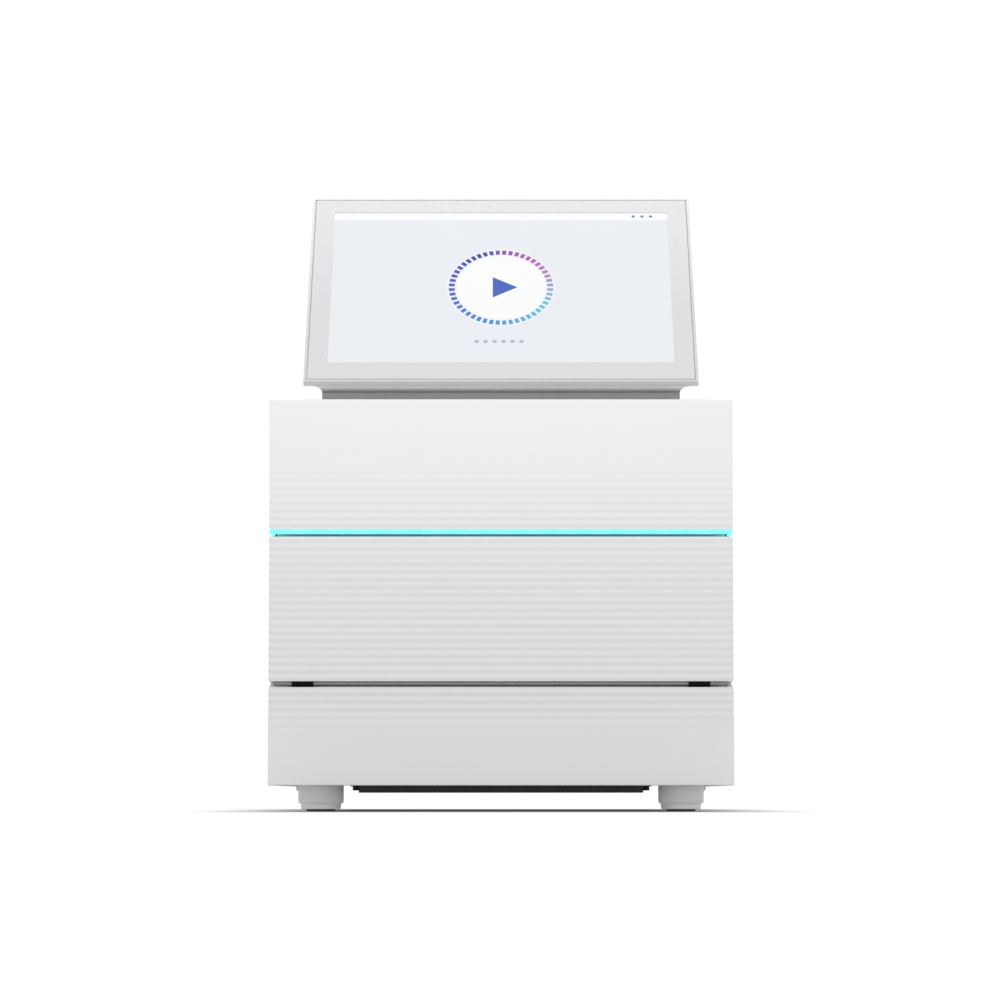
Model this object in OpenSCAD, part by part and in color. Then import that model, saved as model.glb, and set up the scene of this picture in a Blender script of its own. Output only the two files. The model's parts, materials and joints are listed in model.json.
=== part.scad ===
// Benchtop sequencer: a cube-shaped bench instrument with a ribbed moulded housing, a
// bottom-hinged compartment door, an ejecting cartridge tray and a fold-down touch monitor.
// Frame: Z up, the front faces -Y, the origin is on the bench under the middle of the body.

/* [Body] */
// Width of the body over its flat skin
body_w = 305; // [280:1:340]
// Depth of the body, front skin to rear edge
body_d = 330; // [310:1:380]
// Height of the body's lower edge above the bench
body_lift = 17; // [14:0.5:22]
// Height of the body from its lower edge to its top face
body_h = 254.1; // [250:0.1:275]
// Thickness of the moulded walls behind the ribs
skin = 2.5; // [2:0.1:3.5]
// Depth of the front sections, and place of the seam to the wrap cover
return_d = 17; // [15:0.5:18.5]
// Joint line between neighbouring covers
seam = 0.3; // [0.1:0.05:0.6]

/* [Front sections] */
// Height of the lower fascia
lower_h = 65.3; // [60:0.1:68]
// Gap between the lower fascia and the door
door_seam = 2.7; // [2.4:0.1:3.2]
// Height of the compartment door
door_h = 95.2; // [92:0.1:98]
// Shadow gap between the door and the light bar
bar_gap = 1.8; // [1.4:0.1:3]
// Height of the status light bar
bar_h = 3.1; // [2:0.1:5]

/* [Ribs] */
// Height of one rib wave
rib_pitch = 5.04; // [4.5:0.01:7]
// Depth of the waves where they are full
rib_depth = 0.45; // [0.2:0.05:0.8]
// Height at which one rib crest lies
rib_phase = 168.08; // [160:0.01:175]
// Height at which the ribs begin
rib_start = 45; // [40:1:55]
// Height from which the ribs are full
rib_full = 75; // [65:1:90]
// Height above which the ribs fade
rib_fade = 190; // [150:1:200]
// Height at which the ribs have gone
rib_end = 250; // [210:1:255]

/* [Monitor] */
// Distance of the rim's sides inside the body's sides
rim_inset = 22; // [15:0.5:27]
// Thickness of the rim
rim_t = 5; // [4:0.1:6.5]
// Border of the rim beside the face
rim_beside = 2.3; // [1.2:0.1:4]
// Height of the face plate along its slope
face_h = 170.3; // [165:0.1:180]
// Border of the face beside the display
border_side = 12.9; // [8:0.1:20]
// Border of the face above the display
border_above = 11.9; // [8:0.1:20]
// Border of the face below the display
border_below = 15.1; // [8:0.1:20]
// Distance of the rear housing's and barrel's sides inside the rim's sides
back_in = 12; // [8:0.5:18]
// Lean of the raised face from upright
tilt = 35.45; // [28:0.05:42]
// Distance of the face's lower edge behind the body's front
face_setback = 1.4; // [0:0.1:4]
// Height of the face's lower edge above the body's top
face_rise = 13.7; // [12:0.1:16]
// Distance of the tilt axis behind the body's front
hinge_setback = 19; // [18.6:0.1:20]
// Depth of the tilt axis under the body's top
hinge_drop = 7.1; // [6.5:0.1:8]
// Radius of the hinge barrel
barrel_r = 12; // [10.5:0.1:12.4]
// Diameter of the tilt hinge pins
tilt_pin_d = 6; // [4:0.5:7]
// Border of the rim below the face
rim_below = 2.2; // [1.2:0.1:2.6]
// Border of the rim above the face
rim_above = 1.2; // [1:0.1:2.6]
// Gap of the groove round the face
groove = 0.55; // [0.3:0.05:0.8]

/* [Door] */
// Distance of the door's hinge axis behind the front
door_axis_in = 2.2; // [2:0.05:2.4]
// Height of the door's hinge axis above the lower fascia
door_axis_up = 1.4; // [1.2:0.05:1.5]
// Diameter of the door hinge pins
door_pin_d = 2; // [1.5:0.1:2.4]
// Distance of each hinge's middle inside the body's side
door_hinge_in = 22.5; // [18:0.5:27]
// Width of each hinge over its knuckles
door_hinge_w = 14; // [12:0.5:18]
// Radius of the curved door stays
stay_r = 60; // [55:0.5:62]
// Distance of each stay from the side frame
stay_in = 12; // [9.5:0.1:12.4]

/* [Cartridge tray] */
// Distance of the tray's sides from the side frames
tray_side = 27; // [26:0.5:32]
// Length of the tray
tray_l = 150; // [140:1:158]
// Height of the tray's walls
tray_h = 16; // [14:0.5:17]
// Height of the tray's underside above the bench
tray_z = 130; // [129.6:0.1:133]
// Distance of the tray's front edge behind the body's front
tray_in = 35.2; // [34:0.1:38]
// Width of the tray beside its well
well_side = 39; // [36:1:45]
// Length of the tray before and behind its well
well_end = 8; // [6:0.5:15]
// Diameter of the tray's drive screw
screw_d = 8; // [6:0.5:9]
// Distance of the drive screw from the side frame
screw_in = 45; // [43:0.5:49]

/* [Frame] */
// Thickness of the sheet metal
sheet = 2; // [1.5:0.1:2.5]
// Distance of each side frame's inner face from the moulded wall
frame_in = 22.55; // [17:0.05:23.5]
// Height of the compartment floor above the bench
floor_z = 88; // [86:0.5:89]
// Height of the electronics shelf above the bench
shelf_z = 184; // [183:0.5:184.5]
// Depth of the recess behind the rear panel
rear_recess = 6; // [5:0.5:9]
// Height of the tray under the base, measured down from the base pan
drip_h = 5.7; // [4.5:0.1:7]
// Distance of the drip tray's sides inside the body's sides
drip_in = 58.75; // [57:0.25:66]
// Length of the drip tray
drip_l = 84; // [60:1:100]

/* [Inside] */
// Width of the power supply
psu_w = 100; // [70:1:104]
// Length of the power supply
psu_l = 150; // [110:1:165]
// Height of the power supply
psu_h = 42; // [30:1:60]
// Width of the main board
board_w = 200; // [170:1:230]
// Length of the main board
board_l = 200; // [180:1:220]
// Width of the computer module
computer_w = 104; // [80:1:110]
// Length of the computer module
computer_l = 120; // [90:1:130]
// Height of the computer module
computer_h = 26; // [15:1:50]
// Width of the heat sink under the tray
sink_w = 68; // [60:1:90]
// Length of the heat sink under the tray
sink_l = 80; // [60:1:90]
// Height of the heat sink
sink_h = 20; // [12:1:24]
// Width of the optics housing
optics_w = 60; // [44:1:90]
// Length of the optics housing
optics_l = 90; // [60:1:110]
// Radius of the lens cell
lens_r = 14; // [10:0.5:18]
// Side of the drive motor
motor_w = 35; // [28:1:42]
// Length of the drive motor
motor_l = 38; // [30:1:45]

/* [Feet] */
// Distance of the front feet's middle inside the body's side
foot_front_in = 33; // [28:0.5:38]
// Distance of the rear feet's middle inside the body's side
foot_rear_in = 19.5; // [19:0.5:25]
// Distance of the feet's middle from the front and from the rear
foot_end_in = 34; // [33:1:45]
// Radius of the feet
foot_r = 15.1; // [13:0.1:15.4]
// Height of the rubber pads
pad_h = 1.5; // [1:0.1:3]

/* [Rear and side] */
// Side of the square fans
fan_w = 80; // [70:1:80]
// Thickness of the fans
fan_t = 25; // [20:1:28]
// Distance of the fans from the middle
fan_x = 44; // [41:0.5:50]
// Diameter of the power button
button_d = 11.6; // [9:0.1:13]
// Travel of the power button
button_travel = 1.5; // [1:0.1:1.8]

/* [Hidden] */
$fn = 48;
cut = 1;                                  // how far a cutter stands proud of what it cuts
run = 0.05;                               // radial clearance of a running fit
seat = 0.02;                              // radial clearance of a fixed pin in its hole

front_y = -body_d / 2;
rear_y = body_d / 2;
side_x = body_w / 2;
wall = skin + rib_depth;                  // the moulded wall at a rib crest
bottom_z = body_lift;
top_z = body_lift + body_h;
deck_z = top_z - skin;                    // underside of the top
lower_top = bottom_z + lower_h;
door_low = lower_top + door_seam;
door_top = door_low + door_h;
bar_low = door_top + bar_gap;
bar_top = bar_low + bar_h;
inner_x = side_x - wall;
frame_x = inner_x - frame_in;
stay_x = frame_x - stay_in;
door_hinge_x = side_x - door_hinge_in;
foot_front_x = side_x - foot_front_in;
foot_rear_x = side_x - foot_rear_in;
foot_y = body_d / 2 - foot_end_in;
tray_w = 2 * (frame_x - tray_side);
well_w = tray_w - 2 * well_side;
well_l = tray_l - 2 * well_end;
screw_x = frame_x - screw_in;
drip_w = 2 * (side_x - drip_in);
boss_r = 4;                               // screw bosses behind the front sections
boss_bore = 1.5;
boss_screw = 1.7;
boss_out = inner_x - 11.5;                // outer screw bosses of the front sections
boss_mid = 60;                            // middle screw bosses of the upper fascia and the door
boss_low = 40;                            // middle screw bosses of the lower fascia
boss_up = 14;                             // height of the bosses over a section's lower edge
boss_high = 22;
inner_y = front_y + wall;
seam_y = front_y + return_d;              // rear edge of the front sections

rib_facets = 6;
rib_step = rib_pitch / rib_facets;

rim_w = body_w - 2 * rim_inset;
face_w = rim_w - 2 * rim_beside;
window_w = face_w - 2 * border_side;
window_h = face_h - border_above - border_below;
barrel_w = rim_w - 2 * back_in;
hinge_y = front_y + hinge_setback;
hinge_z = top_z - hinge_drop;
face_dy = face_setback - hinge_setback;
face_dz = face_rise + hinge_drop;
face_n = face_dz * sin(tilt) - face_dy * cos(tilt);   // face above the axis, monitor lying flat
face_v = face_dz * cos(tilt) + face_dy * sin(tilt);   // face's near edge behind the axis
rim_low = face_v - rim_below;
rim_high = face_v + face_h + rim_above;
rim_n = face_n - rim_t;
bezel_t = 1;
glass_t = 1.1;
lcd_t = 2.8;
tub_w = window_w + 9;                     // glass and panel behind the window
tub_h = window_h + 9;
window_v = face_v + border_below;
window_mid = window_v + window_h / 2;
lie_gap = 1;                              // lying monitor above the body's top
back_n = hinge_drop + lie_gap;            // rear face of the rear housing
back_t = 2.2;
bumper_x = barrel_w / 2 - 22;
bumper_t = 0.7;
fillet_r = 6;
neck_in = 6;                              // depth of the housing's lower edge behind the rim
trough_gap = 1;
trough_r = barrel_r + trough_gap;
trough_t = 1.2;
trough_half = barrel_w / 2 + 1.8;
pin_in = 12;                              // length of each tilt pin inside the barrel

frame_y = seam_y;                         // front face of the front frame
frame_rear = frame_y + sheet;
frame_top = hinge_z - trough_r - trough_t - 1;
pan_z = bottom_z + 1;
pan_top = pan_z + sheet;
panel_y = rear_y - rear_recess - sheet;   // front face of the rear panel
panel_rear = panel_y + sheet;
floor_top = floor_z + sheet;
shelf_top = shelf_z + sheet;
mouth_x = frame_x - 3;

axis_y = front_y + door_axis_in;          // door hinge axis
axis_z = lower_top + door_axis_up;
knuckle_r = door_axis_in;
cove_r = door_axis_in + 1.1;
fixed_w = door_hinge_w * 0.3;             // the frame's knuckle of each hinge
leaf_gap = 0.2;
liner_t = 2;
liner_y = seam_y - 1 - liner_t;
stay_w = 8;
stay_t = 3;
stay_low = 12;                            // angle of the stay's free end above the level

tray_y = front_y + tray_in;
runner_w = 5.5;
runner_h = 4;
runner_z = tray_z + 6;
rail_gap = 0.4;
rail_x = tray_w / 2 + 0.6;
rail_w = 11.4;
rail_y0 = tray_y + 3.8;
rail_y1 = tray_y + tray_l + 24;
screw_z = tray_z - 12;
nut_l = 20;
nut_y = tray_y + tray_l - 40;
tray_travel = 89;
bearing_y = nut_y - tray_travel - 15;
bracket_y = rail_y1 + 4;
motor_y = bracket_y + 3;
lens_z = tray_z + tray_h + 2;

fan_y = panel_y - fan_t;
fan_z = shelf_top + fan_w / 2 + 1;
fan_bore = fan_w - 4;
hub_r = 15;
fan_shaft_r = 2;
button_y = rear_y - 105;
button_z = pan_top + 16;
button_r = button_d / 2;
usb_x = inner_x - 11.5;                   // inner face of the side board
usb_pitch = 22;                           // of the sockets behind the button
usb_hole = [12, 4.4];                     // a socket's opening, and its shell round it
usb_shell = [usb_hole[0] + 1.2, usb_hole[1] + 1.2];
usb_window = [usb_shell[0] + 0.8, usb_shell[1] + 0.8];

drip_y = seam_y + 2;
drip_mid = drip_y + drip_l / 2;
drip_screw_x = drip_w / 2 + 3.4;
drip_screw_r = 1.5;
foot_screw_r = 2.2;
pan_half = inner_x - 0.2;

sink_x = sink_w / 2;
sink_y1 = tray_y + tray_l - 10;
sink_y0 = sink_y1 - sink_l;
sink_top = floor_top + sink_h;
optics_y = tray_y + tray_l - 50;
lens_seat = 8;                            // height of the lens's lower end under its housing
pcb_t = 1.6;
board_y = frame_rear + 46;
standoff_h = 4;

inlet_x = 23 - frame_x;
rocker_x = inlet_x + 38;
jack_x = rocker_x + 30;
rear_io_z = pan_top + 30;
inlet_half = [13.8, 11.8];                // half width and half height behind the panel
rocker_half = [9.8, 13.8];
jack_half = [8, 6.8];
io_gap = 0.2;
rocker_r = 11;
rocker_y = panel_rear - 7;
rocker_swing = 9;                         // the rocker rests this far to one side of the middle
rocker_axle_r = 1.5;
filter_w = 2 * (fan_x + fan_w / 2) + 8;
filter_low = fan_z - fan_w / 2 - 1.5;
filter_high = deck_z - 0.3;
filter_frame = 3;

function smooth(t) = let (u = min(max(t, 0), 1)) u * u * (3 - 2 * u);
function fade(z) = smooth((z - rib_start) / (rib_full - rib_start))
                 * smooth((rib_end - z) / (rib_end - rib_fade));
function rib_in(z) = rib_depth * fade(z) * (1 - cos(360 * (z - rib_phase) / rib_pitch)) / 2;
function levels(low, high) = concat(
    [low],
    [for (k = [ceil(low / rib_step) : floor(high / rib_step)])
        let (z = rib_phase + (k - round(rib_phase / rib_step)) * rib_step)
        if (z > low + 0.1 && z < high - 0.1 && fade(z) > 0) z],
    [high]);
function reverse(list) = [for (k = [len(list) - 1 : -1 : 0]) list[k]];

// Extrudes a (y, z) outline along X, centred
module along_x(length) {
    rotate([90, 0, 90]) translate([0, 0, -length / 2]) linear_extrude(length) children();
}

// Extrudes an (x, z) outline along Y from y0 to y1
module along_y(y0, y1) {
    translate([0, y1, 0]) rotate([90, 0, 0]) linear_extrude(y1 - y0) children();
}

module box(x, y, z) {
    translate([x[0], y[0], z[0]]) cube([x[1] - x[0], y[1] - y[0], z[1] - z[0]]);
}

module rod_x(x0, x1, y, z, r) {
    translate([x0, y, z]) rotate([0, 90, 0]) cylinder(h = x1 - x0, r = r);
}

module rod_y(x, y0, y1, z, r) {
    translate([x, y1, z]) rotate([90, 0, 0]) cylinder(h = y1 - y0, r = r);
}

// A block along X, centred on the Y and Z axes
module centred_x(x, size) {
    box(x, [-size[0] / 2, size[0] / 2], [-size[1] / 2, size[1] / 2]);
}

module both_sides() {
    children();
    mirror([1, 0, 0]) children();
}

// The raised place of what is modelled with the monitor lying flat behind its axis
module raised() {
    translate([0, hinge_y, hinge_z]) rotate([90 - tilt, 0, 0]) children();
}

// ---- Ribbed housing ------------------------------------------------------------------------

// Cross-section of the whole housing, with the rib waves down both sides
module housing_outline(low, high) {
    zs = levels(low, high);
    polygon(concat(
        [for (z = zs) [side_x - rib_in(z), z]],
        [for (z = reverse(zs)) [-side_x + rib_in(z), z]]));
}

// A front section: waves across its front and round both corners meet in mitres
module ribbed_block(low, high) {
    zs = levels(low, high);
    intersection() {
        along_x(body_w + 2 * cut) polygon(concat(
            [for (z = zs) [front_y + rib_in(z), z]],
            [[seam_y, high], [seam_y, low]]));
        along_y(front_y - cut, seam_y + cut) housing_outline(low, high);
    }
}

// A hollow front section, open to the rear
module ribbed_tray(low, high, floor_t, roof_t) {
    difference() {
        ribbed_block(low, high);
        box([-inner_x, inner_x], [inner_y, seam_y + cut], [low + floor_t, high - roof_t]);
    }
}

// Screw bosses from a front section's wall back to the frame
module fascia_bosses(z, xs, rear = seam_y) {
    both_sides() for (x = xs) difference() {
        rod_y(x, inner_y - 0.5, rear, z, boss_r);
        rod_y(x, rear - 9, rear + cut, z, boss_bore);
    }
}

module at_usb() {
    for (k = [1, 2]) translate([0, button_y + k * usb_pitch, button_z]) children();
}

module trough_cut() {
    box([-trough_half, trough_half], [hinge_y - trough_r, hinge_y + trough_r],
        [deck_z - cut, top_z + cut]);
}

module wrap_cover() {
    color("whitesmoke") difference() {
        along_y(seam_y + seam, rear_y) housing_outline(bottom_z, top_z);
        box([-inner_x, inner_x], [seam_y, rear_y + cut], [bottom_z - cut, deck_z]);
        trough_cut();
        rod_x(inner_x - cut, side_x + cut, button_y, button_z, button_r + 0.4);
        at_usb() centred_x([inner_x - cut, side_x + cut], usb_window);
    }
}

module upper_fascia() {
    color("whitesmoke") {
        difference() {
            ribbed_tray(bar_top, top_z, 0, skin);
            box([-inner_x, inner_x], [inner_y, seam_y + cut], [bar_top - cut, bar_top + skin]);
            trough_cut();
        }
        fascia_bosses(bar_top + boss_high, [boss_mid, boss_out]);
    }
}

module lower_fascia() {
    color("gainsboro") {
        difference() {
            ribbed_tray(bottom_z, lower_top, skin, skin);
            rod_x(-side_x - cut, side_x + cut, axis_y, axis_z, cove_r);
            both_sides() box([door_hinge_x - door_hinge_w, door_hinge_x + door_hinge_w],
                [seam_y - 4, seam_y + cut], [lower_top - skin - cut, lower_top + cut]);
        }
        fascia_bosses(bottom_z + boss_up, [boss_low, boss_out]);
    }
}

module status_light_bar() {
    color("cyan") ribbed_tray(bar_low, bar_top, 0, 0);
}

module light_board() {
    lamp_pitch = 22;
    low = bar_low + 0.2;
    half = inner_x - 7.5;
    color("seagreen") box([-half, half], [frame_y - 1.6, frame_y], [low, low + 9]);
    color("white") for (k = [-floor((half - 4) / lamp_pitch) : floor((half - 4) / lamp_pitch)])
        box([k * lamp_pitch - 1.5, k * lamp_pitch + 1.5], [frame_y - 3, frame_y - 1.6],
            [low + 0.5, low + 3]);
}

// ---- Base, frame and rear ------------------------------------------------------------------

module pan_holes() {
    for (x = [-1, 1]) {
        translate([x * foot_front_x, -foot_y, pan_z - cut])
            cylinder(h = sheet + 2 * cut, r = foot_screw_r);
        translate([x * foot_rear_x, foot_y, pan_z - cut])
            cylinder(h = sheet + 2 * cut, r = foot_screw_r);
        translate([x * drip_screw_x, drip_mid, pan_z - cut])
            cylinder(h = sheet + 2 * cut, r = drip_screw_r);
    }
}

module base_pan() {
    flange = 5;
    slot_pitch = 20;
    color("silver") difference() {
        union() {
            box([-pan_half, pan_half], [seam_y + 0.2, panel_rear], [pan_z, pan_top]);
            both_sides() box([pan_half - sheet, pan_half], [frame_rear + 0.2, panel_y - 1],
                [pan_z, pan_top + flange]);
        }
        pan_holes();
        for (k = [-3 : 3])
            box([k * slot_pitch - 4, k * slot_pitch + 4], [drip_y + 12, drip_y + drip_l - 12],
                [pan_z - cut, pan_top + cut]);
    }
}

module front_frame() {
    color("darkgray") difference() {
        box([-inner_x + 1, inner_x - 1], [frame_y, frame_rear], [pan_top, frame_top]);
        box([-mouth_x, mouth_x], [frame_y - cut, frame_rear + cut],
            [floor_top + 0.5, shelf_z - 5]);
        both_sides() {
            for (x = [boss_mid, boss_out])
                rod_y(x, frame_y - cut, frame_rear + cut, bar_top + boss_high, boss_screw);
            for (x = [boss_low, boss_out])
                rod_y(x, frame_y - cut, frame_rear + cut, bottom_z + boss_up, boss_screw);
        }
    }
}

// Side plate of the frame, with lightening holes and the fold that meets the rear panel
module side_frame() {
    hole_pitch = 60;
    difference() {
        union() {
            box([frame_x, frame_x + sheet], [frame_rear, panel_y], [pan_top, deck_z - 0.4]);
            box([frame_x, frame_x + 14], [panel_y - sheet, panel_y],
                [pan_top, deck_z - 0.4]);
        }
        for (k = [-1 : 1]) {
            rod_x(frame_x - cut, frame_x + sheet + cut, 20 + k * hole_pitch,
                (shelf_z + deck_z) / 2, 16);
            rod_x(frame_x - cut, frame_x + sheet + cut, k * hole_pitch,
                (pan_top + floor_z) / 2, 18);
        }
    }
}

module side_frame_right() { color("silver") side_frame(); }

module side_frame_left() { color("silver") mirror([1, 0, 0]) side_frame(); }

module compartment_floor() {
    color("silver") difference() {
        box([-frame_x, frame_x], [frame_rear, panel_y - 30], [floor_z, floor_top]);
        box([-40, 40], [panel_y - 97, panel_y - 45], [floor_z - cut, floor_top + cut]);  // cable way
    }
}

module electronics_shelf() {
    slot_pitch = 30;
    color("silver") {
        difference() {
            box([-frame_x, frame_x], [frame_rear, panel_y], [shelf_z, shelf_top]);
            for (k = [-2 : 2])
                box([k * slot_pitch - 5, k * slot_pitch + 5], [fan_y - 26, fan_y - 8],
                    [shelf_z - cut, shelf_top + cut]);
        }
        for (x = [-1, 1], y = [8, board_l - 8])
            translate([x * (board_w / 2 - 8), board_y + y, shelf_top - 0.5])
                cylinder(h = standoff_h + 0.5, r = 3);
    }
}

module rear_panel() {
    louvre_pitch = 7;
    color("silver") difference() {
        box([-pan_half, pan_half], [panel_y, panel_rear], [pan_top, deck_z - 0.3]);
        for (x = [-1, 1]) rod_y(x * fan_x, panel_y - cut, panel_rear + cut, fan_z, fan_bore / 2);
        for (p = [[inlet_x, inlet_half], [rocker_x, rocker_half], [jack_x, jack_half]])
            translate([p[0], 0, rear_io_z])
                box([-p[1][0] - io_gap, p[1][0] + io_gap], [panel_y - cut, panel_rear + cut],
                    [-p[1][1] - io_gap, p[1][1] + io_gap]);
        for (k = [-3 : 3])
            box([10, frame_x - 17], [panel_y - cut, panel_rear + cut],
                [rear_io_z + k * louvre_pitch - 1, rear_io_z + k * louvre_pitch + 2]);
    }
}

module filter_cover() {
    slat_pitch = 7;
    slats = floor((filter_high - filter_low - 2 * filter_frame) / slat_pitch);
    color("whitesmoke") {
        difference() {
            box([-filter_w / 2, filter_w / 2], [panel_rear, rear_y], [filter_low, filter_high]);
            box([-filter_w / 2 + filter_frame, filter_w / 2 - filter_frame],
                [panel_rear - cut, rear_y + cut],
                [filter_low + filter_frame, filter_high - filter_frame]);
        }
        for (k = [0 : slats - 1])
            along_x(filter_w - filter_frame) polygon([
                for (p = [[-2.4, 0], [0, 2.6], [0, 4.2], [-2.4, 1.6]])
                    [rear_y + p[0], filter_low + filter_frame + 1 + k * slat_pitch + p[1]]]);
    }
}

module filter_foam() {
    inset = filter_frame + 0.3;
    color("dimgray") box([-filter_w / 2 + inset, filter_w / 2 - inset],
        [panel_rear + 1, rear_y - 2.7], [filter_low + inset, filter_high - inset]);
}

module fan_housing() {
    corner = fan_w / 2 - 4;
    color("dimgray") difference() {
        union() {
            difference() {
                translate([-fan_w / 2, 0, -fan_w / 2]) cube([fan_w, fan_t, fan_w]);
                rod_y(0, -cut, fan_t + cut, 0, fan_bore / 2);
            }
            rod_y(0, 0, 5, 0, hub_r);
            for (a = [45 : 90 : 315]) rotate([0, a, 0])
                translate([hub_r - 1, 0, -1.5]) cube([fan_bore / 2 - hub_r + 3, 3, 3]);
        }
        for (x = [-corner, corner], z = [-corner, corner]) rod_y(x, -cut, fan_t + cut, z, 2.1);
        rod_y(0, -cut, 5 + cut, 0, fan_shaft_r + run);
    }
}

module fan_rotor() {
    blades = 7;
    hub_low = 5.6;
    color("black") {
        rod_y(0, 0.5, hub_low + 1, 0, fan_shaft_r);
        rod_y(0, hub_low, fan_t - 2, 0, hub_r);
        intersection() {
            rod_y(0, hub_low + 1, fan_t - 3, 0, fan_bore / 2 - 1);
            for (k = [0 : blades - 1]) rotate([0, k * 360 / blades, 0])
                translate([hub_r - 1, (fan_t + hub_low) / 2, 0]) rotate([38, 0, 0])
                    translate([0, -14, -0.8]) cube([fan_bore / 2, 28, 1.6]);
        }
    }
}

module at_fan(x) { translate([x, fan_y, fan_z]) children(); }

module fan_housings() { for (x = [-fan_x, fan_x]) at_fan(x) fan_housing(); }

module fan_rotor_left() { at_fan(-fan_x) fan_rotor(); }

module fan_rotor_right() { at_fan(fan_x) fan_rotor(); }

module power_inlet() {
    color("black") translate([inlet_x, 0, rear_io_z]) {
        difference() {
            union() {
                box([-inlet_half[0], inlet_half[0]], [panel_rear - 24, panel_rear],
                    [-inlet_half[1], inlet_half[1]]);
                box([-19, 19], [panel_rear, panel_rear + 2.5], [-14.5, 14.5]);
            }
            box([-12, 12], [panel_rear - 15, panel_rear + 2.5 + cut], [-8.5, 8]);
        }
        for (p = [[-7, 3], [7, 3], [0, -1.5]])
            box([p[0] - 1, p[0] + 1], [panel_rear - 16, panel_rear - 1], [p[1] - 2, p[1] + 2]);
    }
}

module rocker_housing() {
    color("black") translate([rocker_x, 0, rear_io_z]) difference() {
        union() {
            box([-rocker_half[0], rocker_half[0]], [panel_rear - 24, panel_rear],
                [-rocker_half[1], rocker_half[1]]);
            box([-11.5, 11.5], [panel_rear, panel_rear + 1.5], [-16, 16]);
        }
        rod_x(1.6 - rocker_half[0], rocker_half[0] - 1.6, rocker_y, 0, rocker_r + 0.4);
        rod_x(-rocker_half[0] - cut, rocker_half[0] + cut, rocker_y, 0, rocker_axle_r + run);
    }
}

module rocker_switch() {
    color("black") translate([rocker_x, rocker_y, rear_io_z]) rotate([rocker_swing, 0, 0]) {
        rod_x(0.2 - rocker_half[0], rocker_half[0] - 0.2, 0, 0, rocker_axle_r);
        difference() {
            rod_x(2 - rocker_half[0], rocker_half[0] - 2, 0, 0, rocker_r);
            for (s = [-1, 1]) rotate([s * rocker_swing, 0, 0])
                box([-9, 9], [8.6, 14], [-14, 14]);
        }
    }
}

module ethernet_jack() {
    color("gray") translate([jack_x, 0, rear_io_z]) difference() {
        box([-jack_half[0], jack_half[0]], [panel_rear - 18, panel_rear + 0.6],
            [-jack_half[1], jack_half[1]]);
        box([-5.9, 5.9], [panel_rear - 14, panel_rear + 0.6 + cut], [-4, 4.2]);
    }
}

module power_button() {
    color("whitesmoke") {
        rod_x(inner_x - 2.2, side_x + 0.6, button_y, button_z, button_r);
        rod_x(inner_x - 2.2, inner_x - 0.2, button_y, button_z, button_r + 1.6);
        rod_x(inner_x - 4.2, inner_x - 2.2, button_y, button_z, 2);
    }
}

module usb_board() {
    color("seagreen") box([usb_x, usb_x + pcb_t], [button_y - 20, button_y + 2 * usb_pitch + 12],
        [pan_top, button_z + 12]);
    color("silver") {
        at_usb() difference() {
            centred_x([usb_x + pcb_t, side_x - 0.3], usb_shell);
            centred_x([side_x - 9, side_x + cut], usb_hole);
        }
        rod_x(usb_x + pcb_t, inner_x - 4.4 - button_travel, button_y, button_z, 3);
    }
}

// ---- Drip tray and feet --------------------------------------------------------------------

module drip_tray() {
    half = drip_w / 2;
    low = pan_z - drip_h;
    t = 1.2;
    color("dimgray") difference() {
        union() {
            box([-half, half], [drip_y, drip_y + drip_l], [low, pan_z]);
            both_sides() box([half - 1, half + 7], [drip_mid - 12, drip_mid + 12],
                [pan_z - 1.5, pan_z]);
        }
        box([-half + t, half - t], [drip_y + t, drip_y + drip_l - t], [low + t, pan_z + cut]);
        for (x = [-1, 1]) translate([x * drip_screw_x, drip_mid, low])
            cylinder(h = drip_h + cut, r = drip_screw_r);
    }
}

module drip_pad() {
    half = drip_w / 2 - 1.5;
    low = pan_z - drip_h + 1.2;
    color("white") box([-half, half], [drip_y + 1.5, drip_y + drip_l - 1.5], [low, pan_z - 1]);
}

module drip_tray_screws() {
    color("black") for (x = [-1, 1]) translate([x * drip_screw_x, drip_mid, pan_z]) {
        translate([0, 0, -4.2]) cylinder(h = 2.7, r = 2.7);
        translate([0, 0, -2]) cylinder(h = 6, r = drip_screw_r - seat);
    }
}

module at_feet() {
    for (p = [[foot_front_x, -foot_y], [foot_rear_x, foot_y]], s = [1, -1])
        translate([s * p[0], p[1], 0]) scale([s, 1, 1]) children();
}

module feet() {
    ring_h = 3.3;
    color("gray") at_feet() difference() {
        union() {
            rotate_extrude() polygon([
                [0, pad_h], [foot_r - 2, pad_h], [foot_r - 2, pad_h + ring_h],
                [foot_r - 0.3, pad_h + ring_h + 0.4], [foot_r, pan_z], [0, pan_z]]);
            box([foot_r - 2, foot_r + 1.3], [-2, 2], [pan_z - 4.3, pan_z]);
        }
        translate([0, 0, pad_h + 4]) cylinder(h = pan_z, r = foot_screw_r);
    }
}

module foot_pads() {
    color("black") at_feet() cylinder(h = pad_h, r = foot_r - 5.4);
}

module foot_screws() {
    color("silver") at_feet() {
        translate([0, 0, pad_h + 5])
            cylinder(h = pan_top - pad_h - 4, r = foot_screw_r - seat);
        translate([0, 0, pan_top]) cylinder(h = 3, r = 4);
    }
}

// ---- Door ----------------------------------------------------------------------------------

module door_panel() {
    color("whitesmoke") {
        difference() {
            ribbed_tray(door_low, door_top, skin, skin);
            both_sides() rod_x(door_hinge_x - door_hinge_w / 2 - 0.3,
                door_hinge_x + door_hinge_w / 2 + 0.3, axis_y, axis_z, knuckle_r + 0.3);
        }
        for (z = [door_low + boss_up, door_top - boss_up])
            fascia_bosses(z, [boss_mid, boss_out], liner_y);
    }
}

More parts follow.
